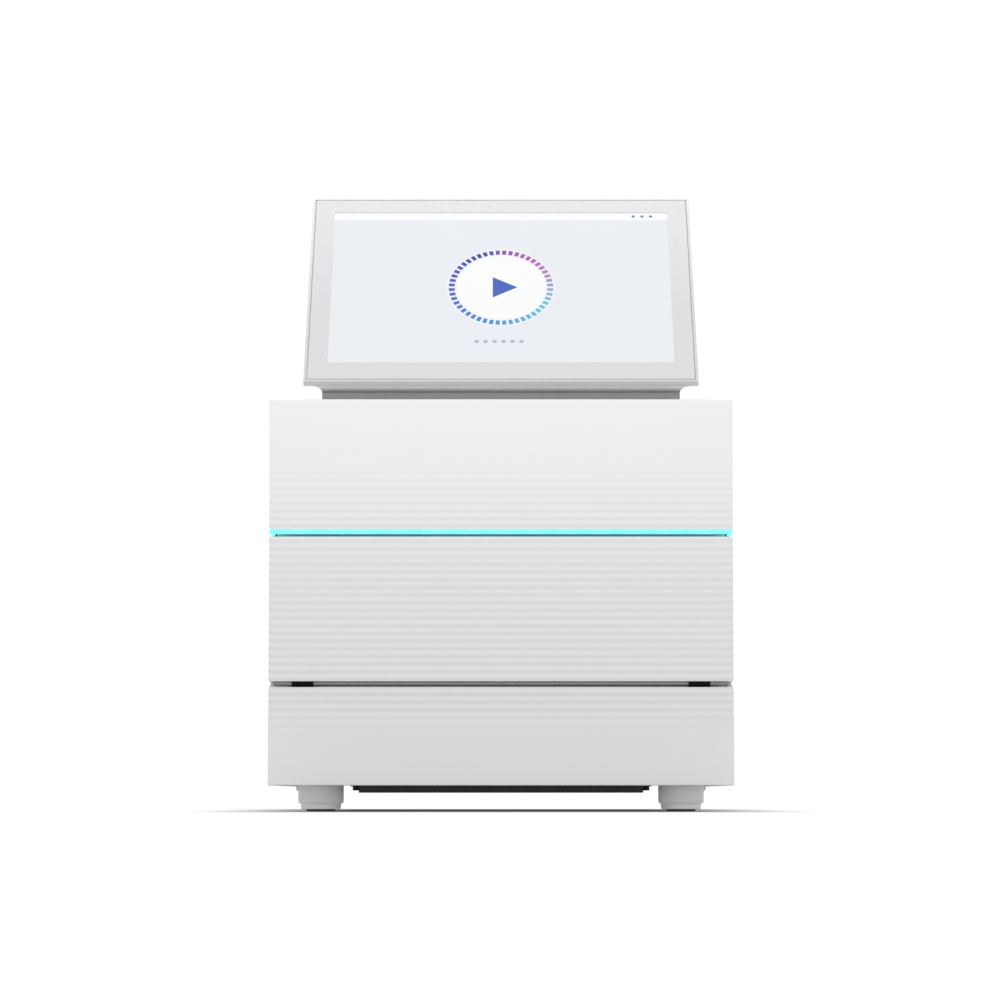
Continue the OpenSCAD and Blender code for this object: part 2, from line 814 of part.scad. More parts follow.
module door_liner() {
    edge = 0.3;
    color("lightgray") difference() {
        box([-inner_x + edge, inner_x - edge], [liner_y, liner_y + liner_t],
            [door_low + skin + edge, door_top - skin - edge]);
        both_sides() for (x = [boss_mid, boss_out], z = [door_low + boss_up, door_top - boss_up])
            rod_y(x, liner_y - cut, liner_y + liner_t + cut, z, boss_screw);
    }
}

// Curved stays round the hinge axis, which steady the door and end in a round stop
module door_stays() {
    foot_z = sqrt(pow(stay_r, 2) - pow(liner_y + liner_t - axis_y, 2));
    foot_half = stay_w / 2 + 3;
    top_angle = acos((liner_y + liner_t - axis_y) / (stay_r + stay_w / 2));
    reach = 2 * stay_r;
    color("silver") both_sides() {
        translate([stay_x, axis_y, axis_z]) along_x(stay_t) {
            intersection() {
                difference() {
                    circle(r = stay_r + stay_w / 2, $fn = 96);
                    circle(r = stay_r - stay_w / 2, $fn = 96);
                }
                polygon([[0, 0], [reach * cos(stay_low), reach * sin(stay_low)],
                    [reach, reach], [reach * cos(top_angle), reach * sin(top_angle)]]);
                translate([liner_y + liner_t - axis_y, 0]) square(reach);
            }
            rotate(stay_low) translate([stay_r, 0]) circle(r = stay_w / 2);
        }
        box([stay_x - 5, stay_x + 5], [liner_y + liner_t, liner_y + liner_t + 1.8],
            [axis_z + foot_z - foot_half, axis_z + foot_z + foot_half]);
    }
}

module door_hinge_leaves() {
    half = door_hinge_w / 2;
    color("black") both_sides() translate([door_hinge_x, 0, 0]) difference() {
        union() {
            for (x = [[-half, -fixed_w / 2 - leaf_gap], [fixed_w / 2 + leaf_gap, half]]) {
                rod_x(x[0], x[1], axis_y, axis_z, knuckle_r);
                box(x, [axis_y, seam_y - 6], [axis_z + leaf_gap, door_low]);
            }
            box([-half, half], [axis_y + knuckle_r + 1.2, seam_y - 6],
                [axis_z + leaf_gap, door_low]);
        }
        rod_x(-half - cut, half + cut, axis_y, axis_z, door_pin_d / 2 + run);
    }
}

module frame_hinge_leaves() {
    half = fixed_w / 2;
    leaf_low = lower_top + 0.1;
    color("black") both_sides() translate([door_hinge_x, 0, 0]) difference() {
        union() {
            rod_x(-half, half, axis_y, axis_z, knuckle_r);
            box([-half, half], [axis_y, frame_y], [leaf_low, axis_z]);
            box([-half, half], [frame_y - 2, frame_y], [lower_top - 14, axis_z]);
        }
        rod_x(-half - cut, half + cut, axis_y, axis_z, door_pin_d / 2 + seat);
    }
}

// A long pin through each hinge; the two nearly meet in the middle and fill the door's seam
module door_hinge_pins() {
    color("silver") both_sides() rod_x(0.2, inner_x - 1, axis_y, axis_z, door_pin_d / 2);
}

// ---- Cartridge tray and its drive ----------------------------------------------------------

module cartridge_tray() {
    half = tray_w / 2;
    base_t = 4;
    well_y = tray_y + well_end;
    color("whitesmoke") difference() {
        union() {
            box([-half, half], [tray_y, tray_y + tray_l], [tray_z, tray_z + tray_h]);
            both_sides() box([half - cut, half + runner_w], [tray_y + 6, tray_y + tray_l],
                [runner_z, runner_z + runner_h]);
        }
        box([-well_w / 2, well_w / 2], [well_y, well_y + well_l],
            [tray_z + base_t, tray_z + tray_h + cut]);
        box([-32, 32], [well_y + 52, well_y + well_l - 8], [tray_z - cut, tray_z + base_t + cut]);
        both_sides() {
            translate([well_w / 2, well_y + 42, tray_z + base_t + 3])
                cylinder(h = tray_h, r = 13);
            box([half - 24, half - 6], [tray_y + 14, tray_y + tray_l - 14],
                [tray_z + base_t, tray_z + tray_h + cut]);
        }
    }
}

module tray_rails() {
    color("silver") both_sides() {
        difference() {
            box([rail_x, rail_x + rail_w], [rail_y0, rail_y1], [tray_z, tray_z + tray_h]);
            box([rail_x - cut, tray_w / 2 + runner_w + rail_gap], [rail_y0 - cut, rail_y1 + cut],
                [runner_z - rail_gap, runner_z + runner_h + rail_gap]);
        }
        for (y = [rail_y0 + 31, rail_y1 - 24])
            box([rail_x + rail_w - 0.5, frame_x], [y, y + 20], [tray_z, tray_z + 3]);
    }
}

module drive_nut() {
    color("ivory") difference() {
        box([screw_x - 12, screw_x + 12], [nut_y, nut_y + nut_l], [screw_z - 8, tray_z]);
        rod_y(screw_x, nut_y - cut, nut_y + nut_l + cut, screw_z, screw_d / 2 + run);
    }
}

module lead_screw() {
    color("silver") {
        rod_y(screw_x, bearing_y + 1, motor_y + 8, screw_z, screw_d / 2);
        rod_y(screw_x, bearing_y + 10.4, bearing_y + 12.4, screw_z, screw_d / 2 + 2);
    }
}

module drive_supports() {
    half = motor_w / 2 + 2.5;
    color("silver") {
        difference() {
            box([screw_x - 11, screw_x + 11], [bearing_y, bearing_y + 10],
                [floor_top, screw_z + 8]);
            rod_y(screw_x, bearing_y - cut, bearing_y + 10 + cut, screw_z, screw_d / 2 + run);
        }
        difference() {
            union() {
                box([screw_x - half, screw_x + half], [bracket_y, bracket_y + 3],
                    [floor_top, screw_z + motor_w / 2]);
                box([screw_x - half, screw_x + half], [bracket_y - 14, bracket_y + 3],
                    [floor_top, floor_top + 3]);
            }
            rod_y(screw_x, bracket_y - cut, bracket_y + 3 + cut, screw_z, screw_d / 2 + 1.5);
        }
    }
}

module drive_motor() {
    half = motor_w / 2;
    color("dimgray") difference() {
        box([screw_x - half, screw_x + half], [motor_y, motor_y + motor_l],
            [screw_z - half, screw_z + half]);
        rod_y(screw_x, motor_y - cut, motor_y + 10, screw_z, screw_d / 2 + run);
        for (x = [-1, 1], z = [-1, 1]) translate([screw_x + x * half, 0, screw_z + z * half])
            rotate([0, 45, 0]) box([-2, 2], [motor_y - cut, motor_y + motor_l + cut], [-2, 2]);
    }
}

module thermal_block() {
    half = sink_x - 4;
    color("goldenrod") box([-half, half], [sink_y0 + 4, sink_y1 - 4], [sink_top, tray_z - 1]);
}

module heat_sink() {
    fin_pitch = 6;
    fins = floor((sink_x - 2) / fin_pitch);
    color("silver") difference() {
        box([-sink_x, sink_x], [sink_y0, sink_y1], [floor_top, sink_top]);
        for (k = [-fins : fins - 1])
            box([(k + 0.5) * fin_pitch - 2, (k + 0.5) * fin_pitch + 2],
                [sink_y0 - cut, sink_y1 + cut], [floor_top - cut, sink_top - 4]);
    }
}

module optics_housing() {
    half = optics_w / 2;
    lip = 10;
    color("dimgray") difference() {
        union() {
            box([-half, half], [optics_y - optics_l / 3, optics_y + optics_l * 2 / 3],
                [lens_z + lens_seat, shelf_z]);
            box([-half - lip, half + lip],
                [optics_y - optics_l / 3 - 4, optics_y + optics_l * 2 / 3 + 4],
                [shelf_z - 3, shelf_z]);
        }
        translate([0, optics_y, lens_z + lens_seat - cut]) cylinder(h = 14 + cut, r = lens_r);
    }
}

module lens_barrel() {
    color("lightblue") translate([0, optics_y, lens_z]) {
        cylinder(h = 21, r = lens_r - 0.1);
        translate([0, 0, 2]) cylinder(h = 5.8, r = lens_r + 2);
    }
}

module sensor_board() {
    y = sink_y1 + 12;
    t = pcb_t;
    half = sink_x + 2;
    color("seagreen") box([-half, half], [y, y + t], [floor_top, tray_z - 2]);
    color("black") {
        box([-20, 20], [y - 4, y], [tray_z - 16, tray_z - 4]);
        both_sides() box([half - 6, half + 4], [y + t, y + t + 9], [floor_top, floor_top + 10]);
    }
}

// ---- Electronics ---------------------------------------------------------------------------

module main_board() {
    z = shelf_top + standoff_h;
    t = pcb_t;
    color("seagreen") box([-board_w / 2, board_w / 2], [board_y, board_y + board_l], [z, z + t]);
    color("black") {
        both_sides() for (x = [15, 30])
            box([board_w / 2 - x - 5, board_w / 2 - x + 5], [board_y + 20, board_y + 60],
                [z + t, z + t + 8]);
        box([10 - board_w / 2, 34 - board_w / 2], [board_y + 120, board_y + 144],
            [z + t, z + t + 2]);
        box([board_w / 2 - 38, board_w / 2 - 8], [board_y + 120, board_y + 160],
            [z + t, z + t + 14]);
    }
}

module computer_module() {
    z = shelf_top + standoff_h + pcb_t;
    fin_pitch = 8;
    half = computer_w / 2;
    fins = floor((half - 4) / fin_pitch);
    low = board_y + 30;
    color("gray") difference() {
        box([-half, half], [low, low + computer_l], [z, z + computer_h]);
        for (k = [-fins : fins - 1])
            box([(k + 0.5) * fin_pitch - 2.5, (k + 0.5) * fin_pitch + 2.5],
                [low - cut, low + computer_l + cut], [z + computer_h - 14, z + computer_h + cut]);
    }
}

module power_supply() {
    vent_pitch = 9;
    x0 = 9 - frame_x;
    y1 = panel_y - 47;
    vents = floor((psu_w - 10) / vent_pitch);
    color("silver") difference() {
        box([x0, x0 + psu_w], [y1 - psu_l, y1], [pan_top, pan_top + psu_h]);
        for (k = [0 : vents - 1])
            box([x0 + 8 + k * vent_pitch, x0 + 12 + k * vent_pitch],
                [y1 - psu_l - cut, y1 - psu_l + 3], [pan_top + 8, pan_top + psu_h - 8]);
    }
    color("black") box([x0 + 18, x0 + psu_w - 18], [y1, y1 + 10], [pan_top, pan_top + 14]);
}

// ---- Monitor, modelled lying flat behind its tilt axis --------------------------------------

module lying_box(w, v, n) {
    box([-w / 2, w / 2], v, n);
}

module monitor_rim() {
    ledge_n = face_n - bezel_t;
    color("whitesmoke") raised() difference() {
        lying_box(rim_w, [rim_low, rim_high], [rim_n, face_n]);
        lying_box(face_w + 2 * groove, [face_v - groove, face_v + face_h + groove],
            [ledge_n, face_n + cut]);
        lying_box(tub_w + 1, [window_mid - tub_h / 2 - 0.5, window_mid + tub_h / 2 + 0.5],
            [rim_n - cut, face_n]);
    }
}

module monitor_bezel() {
    color("whitesmoke") raised() difference() {
        lying_box(face_w, [face_v, face_v + face_h], [face_n - bezel_t, face_n]);
        lying_box(window_w, [window_v, window_v + window_h],
            [face_n - bezel_t - cut, face_n + cut]);
    }
}

module touch_glass() {
    n = face_n - bezel_t;
    color("lightsteelblue") raised()
        lying_box(tub_w, [window_mid - tub_h / 2, window_mid + tub_h / 2], [n - glass_t, n]);
}

module lcd_panel() {
    n = face_n - bezel_t - glass_t;
    color("slategray") raised()
        lying_box(tub_w - 2, [window_mid - tub_h / 2 + 1, window_mid + tub_h / 2 - 1],
            [n - lcd_t, n]);
}

// Side of the rear housing: a slab whose lower edge turns down into the neck and hinge barrel
module back_profile() {
    end_v = rim_high - back_in;
    polygon([[rim_low, rim_n], [end_v + 4, rim_n], [end_v - 3, back_n],
        [sqrt(pow(barrel_r, 2) - pow(back_n, 2)), back_n], [0, 0], [0, barrel_r],
        [rim_low, rim_n - neck_in]]);
    circle(r = barrel_r);
}

module monitor_back() {
    inner_v0 = rim_low + 26;
    inner_v1 = rim_high - back_in - 6;
    half = barrel_w / 2;
    color("whitesmoke") raised() difference() {
        union() {
            along_x(barrel_w) back_profile();
            both_sides() translate([half, 0, rim_n]) mirror([0, 0, 1])
                along_y(rim_low, rim_high - back_in) difference() {
                    square(fillet_r);
                    translate([fillet_r, fillet_r]) circle(r = fillet_r);
                }
        }
        lying_box(barrel_w - 2 * back_t, [inner_v0, inner_v1], [back_n + back_t, rim_n + cut]);
        both_sides() rod_x(half - pin_in - 0.5, half + cut, 0, 0, tilt_pin_d / 2 + run);
    }
}

module monitor_board() {
    n = back_n + back_t;
    board = [130, 80];
    v = window_mid - board[1] / 2;
    raised() {
        color("seagreen") lying_box(board[0], [v, v + board[1]], [n, n + pcb_t]);
        color("black") {
            lying_box(70, [v + 10, v + 18], [n + 1, n + 6]);
            lying_box(24, [v + 40, v + 64], [n + 1, n + 4]);
        }
    }
}

module monitor_bumpers() {
    color("dimgray") raised() both_sides() for (v = [rim_low + 40, rim_high - 40])
        translate([bumper_x, v, back_n - bumper_t]) cylinder(h = bumper_t, r = 5);
}

module tilt_hinge_pins() {
    half = barrel_w / 2;
    color("silver") both_sides() rod_x(half - pin_in, frame_x, hinge_y, hinge_z, tilt_pin_d / 2);
}

module tilt_hinge_brackets() {
    color("silver") both_sides() difference() {
        box([trough_half + 0.2, frame_x], [hinge_y - 9, hinge_y + 11],
            [hinge_z - 14, deck_z]);
        rod_x(trough_half - cut, frame_x + cut, hinge_y, hinge_z, tilt_pin_d / 2 + seat);
    }
}

module hinge_trough() {
    color("darkgray") translate([0, hinge_y, 0]) along_x(2 * trough_half) difference() {
        translate([0, hinge_z]) circle(r = trough_r + trough_t, $fn = 96);
        translate([0, hinge_z]) circle(r = trough_r, $fn = 96);
        translate([-50, deck_z]) square(100);
        translate([-trough_r, hinge_z]) square([2 * trough_r, 50]);
    }
}

// ---- The instrument ------------------------------------------------------------------------

base_pan();
wrap_cover();
upper_fascia();
lower_fascia();
status_light_bar();
light_board();
front_frame();
side_frame_left();
side_frame_right();
compartment_floor();
electronics_shelf();
rear_panel();
filter_cover();
filter_foam();
fan_housings();
fan_rotor_left();
fan_rotor_right();
power_inlet();
rocker_housing();
rocker_switch();
ethernet_jack();
power_button();
usb_board();
drip_tray();
drip_pad();
drip_tray_screws();
feet();
foot_pads();
foot_screws();
door_panel();
door_liner();
door_stays();
door_hinge_leaves();
frame_hinge_leaves();
door_hinge_pins();
cartridge_tray();
tray_rails();
drive_nut();
lead_screw();
drive_supports();
drive_motor();
thermal_block();
heat_sink();
optics_housing();
lens_barrel();
sensor_board();
main_board();
computer_module();
power_supply();
monitor_rim();
monitor_bezel();
touch_glass();
lcd_panel();
monitor_board();
monitor_back();
monitor_bumpers();
tilt_hinge_pins();
tilt_hinge_brackets();
hinge_trough();
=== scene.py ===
"""Looks of a benchtop sequencer: ribbed moulded covers, a lit status bar, a touch monitor on a
fold-down hinge, and the metal, boards and plastics inside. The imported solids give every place."""

import json
import math

import bmesh
import bpy
import numpy as np
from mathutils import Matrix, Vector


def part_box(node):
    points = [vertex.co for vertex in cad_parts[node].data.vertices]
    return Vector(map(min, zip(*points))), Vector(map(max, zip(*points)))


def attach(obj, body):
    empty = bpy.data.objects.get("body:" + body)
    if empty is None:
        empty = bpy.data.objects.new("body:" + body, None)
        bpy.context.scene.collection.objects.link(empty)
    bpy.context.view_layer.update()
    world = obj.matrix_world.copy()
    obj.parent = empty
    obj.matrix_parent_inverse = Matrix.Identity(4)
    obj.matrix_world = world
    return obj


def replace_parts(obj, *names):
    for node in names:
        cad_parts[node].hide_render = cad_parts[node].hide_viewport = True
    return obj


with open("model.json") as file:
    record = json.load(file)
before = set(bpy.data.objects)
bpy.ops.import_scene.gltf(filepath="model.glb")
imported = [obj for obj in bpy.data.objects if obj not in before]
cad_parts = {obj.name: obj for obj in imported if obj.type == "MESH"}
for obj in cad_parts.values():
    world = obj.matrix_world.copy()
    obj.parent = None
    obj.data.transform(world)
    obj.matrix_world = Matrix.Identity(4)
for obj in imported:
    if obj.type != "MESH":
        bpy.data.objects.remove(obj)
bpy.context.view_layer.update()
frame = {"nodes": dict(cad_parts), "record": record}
SLOT_OF = {row["node"]: row["material_slot"] for row in frame["record"]["subparts"]}
BODY_OF = {node: body for body, nodes in frame["record"]["behaviour"]["bodies"].items()
           for node in nodes}
MM = 0.001
SHARP = math.radians(35)  # faces that meet at more than this keep an edge between them

# Sizes of the housing, in metres
SIDE_X = 0.1525
FRONT_Y = -0.165
SEAM_Y = -0.148
WALL = 0.00295
SKIN = 0.0025
BAR_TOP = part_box("status_light_bar")[1].z
BAR_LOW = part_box("status_light_bar")[0].z
BODY_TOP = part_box("wrap_cover")[1].z
BODY_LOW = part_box("wrap_cover")[0].z
DOOR_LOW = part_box("door_panel")[0].z
DOOR_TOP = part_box("door_panel")[1].z
DOOR_SEAM = 0.0027
LOWER_TOP = DOOR_LOW - DOOR_SEAM

# Front sections: radius of their corners, step between rows, and start of their flat ends
CORNER_R = 0.0009
RIB_STEP = 0.0005
PAST_EDGE = 0.0003

# Rib waves: pitch, depth, height of one crest, and where they begin, are full, fade and end
RIB_PITCH = 0.00504
RIB_DEPTH = 0.0003
RIB_PHASE = 0.16808
RIB_START, RIB_FULL, RIB_FADE, RIB_END = 0.045, 0.075, 0.190, 0.250

# Status bar: distance between the lamps behind it
LAMP_PITCH = 0.022

# Door hinge: axis, groove round it and skin under the groove, and the knuckles' places, with the
# width of the steps beside them
AXIS_Y, AXIS_Z = -0.1628, 0.0837
COVE_R, COVE_SKIN = 0.0033, 0.0012
KNUCKLE_X, KNUCKLE_HALF, KNUCKLE_R = 0.130, 0.0073, 0.0025
HAIR = 0.00002

# Monitor: tilt axis, lean of the face, and the slot that it folds into; the places of the face and
# the picture out from the axis; the display's width, height and place up the face; and the heights
# between which the neck's painted shade ends
TILT_Y, TILT_Z = -0.146, 0.264
TILT = math.radians(35.45)
TROUGH_HALF, TROUGH_R = 0.1203, 0.013
FACE_N = 0.02640
PICTURE_N = FACE_N - 0.00095
WINDOW_W, WINDOW_H, WINDOW_V = 0.2306, 0.1433, 0.02184
NECK_SHADE_TOP = (0.2767, 0.2800)


# ---- Shader maths ---------------------------------------------------------------------------

class Wire:
    """A node's socket that can stand in sums; each sum adds its Math node."""

    def __init__(self, finish, socket):
        self.finish = finish
        self.socket = socket

    def __add__(self, other):
        return self.finish.math("ADD", self, other)

    __radd__ = __add__

    def __sub__(self, other):
        return self.finish.math("SUBTRACT", self, other)

    def __rsub__(self, other):
        return self.finish.math("SUBTRACT", other, self)

    def __mul__(self, other):
        return self.finish.math("MULTIPLY", self, other)

    __rmul__ = __mul__

    def __truediv__(self, other):
        return self.finish.math("DIVIDE", self, other)

    def __pow__(self, other):
        return self.finish.math("POWER", self, other)

    def __abs__(self):
        return self.finish.math("ABSOLUTE", self)

    def __and__(self, other):
        return self.finish.math("MINIMUM", self, other)

    def __or__(self, other):
        return self.finish.math("MAXIMUM", self, other)

    def step(self, low, high):
        """0 below low, 1 above high, and a smooth rise between them."""
        inputs = {"Value": self, "From Min": low, "From Max": high}
        return self.finish.node("ShaderNodeMapRange", {"interpolation_type": "SMOOTHSTEP"}, inputs)


class Finish:
    """A procedural finish: one Principled shader and the nodes that vary it."""

    def __init__(self, name, colour, roughness, metallic=0.0, **fixed):
        self.colour = colour
        self.material = bpy.data.materials.new(name)
        self.material.use_nodes = True
        self.tree = self.material.node_tree
        self.shader = self.tree.nodes["Principled BSDF"]
        self.set("Base Color", (*colour, 1.0))
        self.set("Roughness", roughness)
        self.set("Metallic", metallic)
        for socket, value in fixed.items():
            self.set(socket.replace("_", " "), value)

    def put(self, socket, value):
        """Links a wire to a socket, or gives the socket a fixed value."""
        if isinstance(value, Wire):
            self.tree.links.new(value.socket, socket)
        else:
            socket.default_value = value

    def set(self, socket, value):
        """Puts a wire or a value on one of the shader's own sockets."""
        self.put(self.shader.inputs[socket], value)
        return self

    def node(self, kind, settings=None, inputs=None, output=0):
        """Adds any node: its settings first, then the values or links of its sockets."""
        node = self.tree.nodes.new(kind)
        for key, value in (settings or {}).items():
            if key == "stops":
                ramp = node.color_ramp
                while len(ramp.elements) < len(value):
                    ramp.elements.new(0.5)
                for element, (place, colour) in zip(ramp.elements, value):
                    element.position = place
                    element.color = (*colour, 1.0)
            else:
                setattr(node, key, value)
        for key, value in (inputs or {}).items():
            self.put(node.inputs[key], value)
        return Wire(self, node.outputs[output])

    def math(self, operation, *values):
        """Adds a Math node on numbers or wires."""
        return self.node("ShaderNodeMath", {"operation": operation}, dict(enumerate(values)))

    def place(self, stretch=(1.0, 1.0, 1.0)):
        """Where a point lies on the piece, in metres, stretched by factors."""
        place = self.node("ShaderNodeTexCoord", output="Object")
        if stretch == (1.0, 1.0, 1.0):
            return place
        return self.node("ShaderNodeMapping", None, {"Vector": place, "Scale": stretch})

    def along(self, vector, axis):
        """One coordinate of a vector: axis 0, 1 or 2."""
        return self.node("ShaderNodeSeparateXYZ", None, {"Vector": vector}, axis)

    def noise(self, size, detail=2.0, roughness=0.5, stretch=(1.0, 1.0, 1.0)):
        """Soft noise from 0 to 1 with features of that size in metres."""
        inputs = {"Vector": self.place(stretch), "Scale": 1.0 / size, "Detail": detail,
                  "Roughness": roughness}
        return self.node("ShaderNodeTexNoise", None, inputs, "Fac")

    def cells(self, size, stretch=(1.0, 1.0, 1.0), feature="F1"):
        """Distance from the middle or the edge of cells of that size in metres."""
        inputs = {"Vector": self.place(stretch), "Scale": 1.0 / size}
        return self.node("ShaderNodeTexVoronoi", {"feature": feature}, inputs, "Distance")

    def mix(self, share, first, second):
        """A colour between two colours."""
        inputs = {0: share, 6: opaque(first), 7: opaque(second)}
        return self.node("ShaderNodeMix", {"data_type": "RGBA"}, inputs, 2)

    def shade(self, wire, amount):
        """Varies the base colour by that share, darker where the wire is 0, lighter where 1."""
        dark = tuple(c * (1 - amount) for c in self.colour)
        light = tuple(min(c * (1 + amount), 1.0) for c in self.colour)
        return self.set("Base Color", self.mix(wire, dark, light))

    def relief(self, height, depth):
        """Raises the surface by a wire's height, from 0 to 1, times a depth in metres."""
        inputs = {"Height": height, "Distance": depth, "Strength": 1.0}
        return self.node("ShaderNodeBump", None, inputs)

    def base(self):
        """The wire that gives the base colour so far."""
        return Wire(self, self.shader.inputs["Base Color"].links[0].from_socket)


def opaque(colour):
    """A colour with its alpha; a wire stays as it is."""
    return (*colour, 1.0) if isinstance(colour, tuple) and len(colour) == 3 else colour


def srgb(red, green, blue):
    """Screen levels from 0 to 255 as linear light."""
    return tuple(((c / 255 + 0.055) / 1.055) ** 2.4 if c > 10 else c / 255 / 12.92
                 for c in (red, green, blue))


# ---- Finishes -------------------------------------------------------------------------------

def moulded(name, colour, roughness, grain=0.00035, depth=0.000004, mottle=0.012, **fixed):
    """Injection moulded plastic: a fine even grain, faint flow marks and slightly uneven gloss."""
    finish = Finish(name, colour, roughness, **fixed)
    flow = finish.noise(0.045, 3.0, 0.6)
    fine = finish.noise(grain, 2.0, 0.6)
    finish.shade(flow * 0.75 + fine * 0.25, mottle)
    finish.set("Roughness", finish.noise(0.012, 2.0) * 0.10 + (roughness - 0.05))
    finish.set("Normal", finish.relief(fine, depth))
    return finish


def brushed(name, colour, roughness, stretch, metallic=1.0, mottle=0.06):
    """Sheet metal with rolling lines along the axis whose stretch is small."""
    finish = Finish(name, colour, roughness, metallic)
    lines = finish.noise(0.0006, 3.0, 0.65, stretch)
    cloud = finish.noise(0.02, 3.0)
    finish.shade(lines * 0.6 + cloud * 0.4, mottle)
    finish.set("Roughness", lines * 0.18 + cloud * 0.08 + (roughness - 0.12))
    finish.set("Normal", finish.relief(lines, 0.000006))
    return finish


def turned(name, colour, roughness):
    """Bright turned steel with fine rings and slight stain."""
    finish = Finish(name, colour, roughness, 1.0)
    rings = finish.noise(0.0004, 2.0, 0.5, (1.0, 0.2, 1.0))
    finish.shade(rings, 0.08)
    finish.set("Roughness", finish.noise(0.004, 2.0) * 0.14 + (roughness - 0.07))
    finish.set("Normal", finish.relief(rings, 0.000004))
    return finish


def circuit(name):
    """A printed board: green mask over straight copper tracks, with small solder pads."""
    finish = Finish(name, srgb(18, 84, 46), 0.35, Coat_Weight=0.25, Coat_Roughness=0.2)
    tracks = finish.cells(0.006, (1.0, 3.2, 1.0), "DISTANCE_TO_EDGE").step(0.03, 0.09)
    cross = finish.cells(0.005, (3.2, 1.0, 2.0), "DISTANCE_TO_EDGE").step(0.03, 0.09)
    copper = 1 - (tracks & cross)
    pads = finish.cells(0.0032).step(0.30, 0.24)
    colour = finish.mix(copper * 0.8, srgb(16, 78, 42), srgb(44, 128, 70))
    finish.set("Base Color", finish.mix(pads, colour, srgb(196, 190, 170)))
    finish.set("Metallic", pads * 0.9)
    finish.set("Roughness", 0.38 - pads * 0.12 + finish.noise(0.01) * 0.06)
    finish.set("Normal", finish.relief(copper | pads, 0.00003))
    return finish


def porous(name, colour, size, depth, roughness=0.95):
    """Foam, felt or card: open cells, with painted shade in their pits."""
    finish = Finish(name, colour, roughness, Specular_IOR_Level=0.2)
    pits = finish.cells(size).step(0.05, 0.62)
    # painted shade: the base colour darkens in the pits; a little noise also varies it at random
    finish.shade(pits * 0.8 + finish.noise(size * 6) * 0.2, 0.35)
    finish.set("Roughness", pits * 0.05 + (roughness - 0.05))
    finish.set("Normal", finish.relief(pits, depth))
    return finish


def light_strip(name):
    """The status bar: a diffuser lit from behind, a little brighter in front of each lamp."""
    finish = Finish(name, srgb(150, 235, 238), 0.35, Emission_Strength=1.0)
    across = finish.along(finish.place(), 0)
    glow = finish.math("COSINE", across * (2 * math.pi / LAMP_PITCH)) * 0.5 + 0.5
    finish.set("Emission Color", finish.mix(glow, srgb(110, 228, 229), srgb(119, 233, 233)))
    # painted light: the diffuser's base colour is also a little lighter in front of each lamp
    finish.set("Base Color", finish.mix(glow, srgb(70, 150, 152), srgb(80, 160, 162)))
    finish.set("Roughness", finish.noise(0.002) * 0.1 + 0.3)
    return finish


def glass_sheet(name):
    """The touch glass: dark and glossy, with faint finger smears."""
    finish = Finish(name, srgb(60, 64, 70), 0.08, Coat_Weight=0.6, Coat_Roughness=0.03)
    smear = finish.noise(0.03, 4.0, 0.7, (1.0, 0.5, 1.0))
    finish.shade(smear, 0.10)
    finish.set("Roughness", smear * 0.08 + 0.05)
    finish.set("Normal", finish.relief(smear, 0.000002))
    return finish


def coated_lens(name):
    """A coated objective: deep glass with a violet to blue bloom that varies over it."""
    finish = Finish(name, srgb(70, 84, 120), 0.08, Coat_Weight=1.0, Coat_Roughness=0.02)
    bloom = finish.noise(0.012, 1.0)
    finish.set("Base Color", finish.mix(bloom, srgb(48, 56, 104), srgb(86, 110, 150)))
    finish.set("Roughness", finish.noise(0.004) * 0.06 + 0.05)
    return finish


def painted_neck_shade(finish):
    """Paints shade on the hinge barrel and the neck over it, under the monitor: a darker grey than
    the housing above them.
    """
    above = finish.along(finish.place(), 2).step(*NECK_SHADE_TOP)
    return finish.set("Base Color", finish.mix(above, srgb(138, 138, 139), finish.base()))


def painted_height_shade(finish, low, high, share):
    """Paints shade into a finish: darkens it by a share towards the first of two heights."""
    plain = finish.base()
    dark = finish.node("ShaderNodeMix", {"data_type": "RGBA", "blend_type": "MULTIPLY"},
                       {0: 1.0, 6: plain, 7: opaque((1 - share,) * 3)}, 2)
    towards = finish.along(finish.place(), 2).step(low, high)
    return finish.set("Base Color", finish.mix(towards, dark, plain))


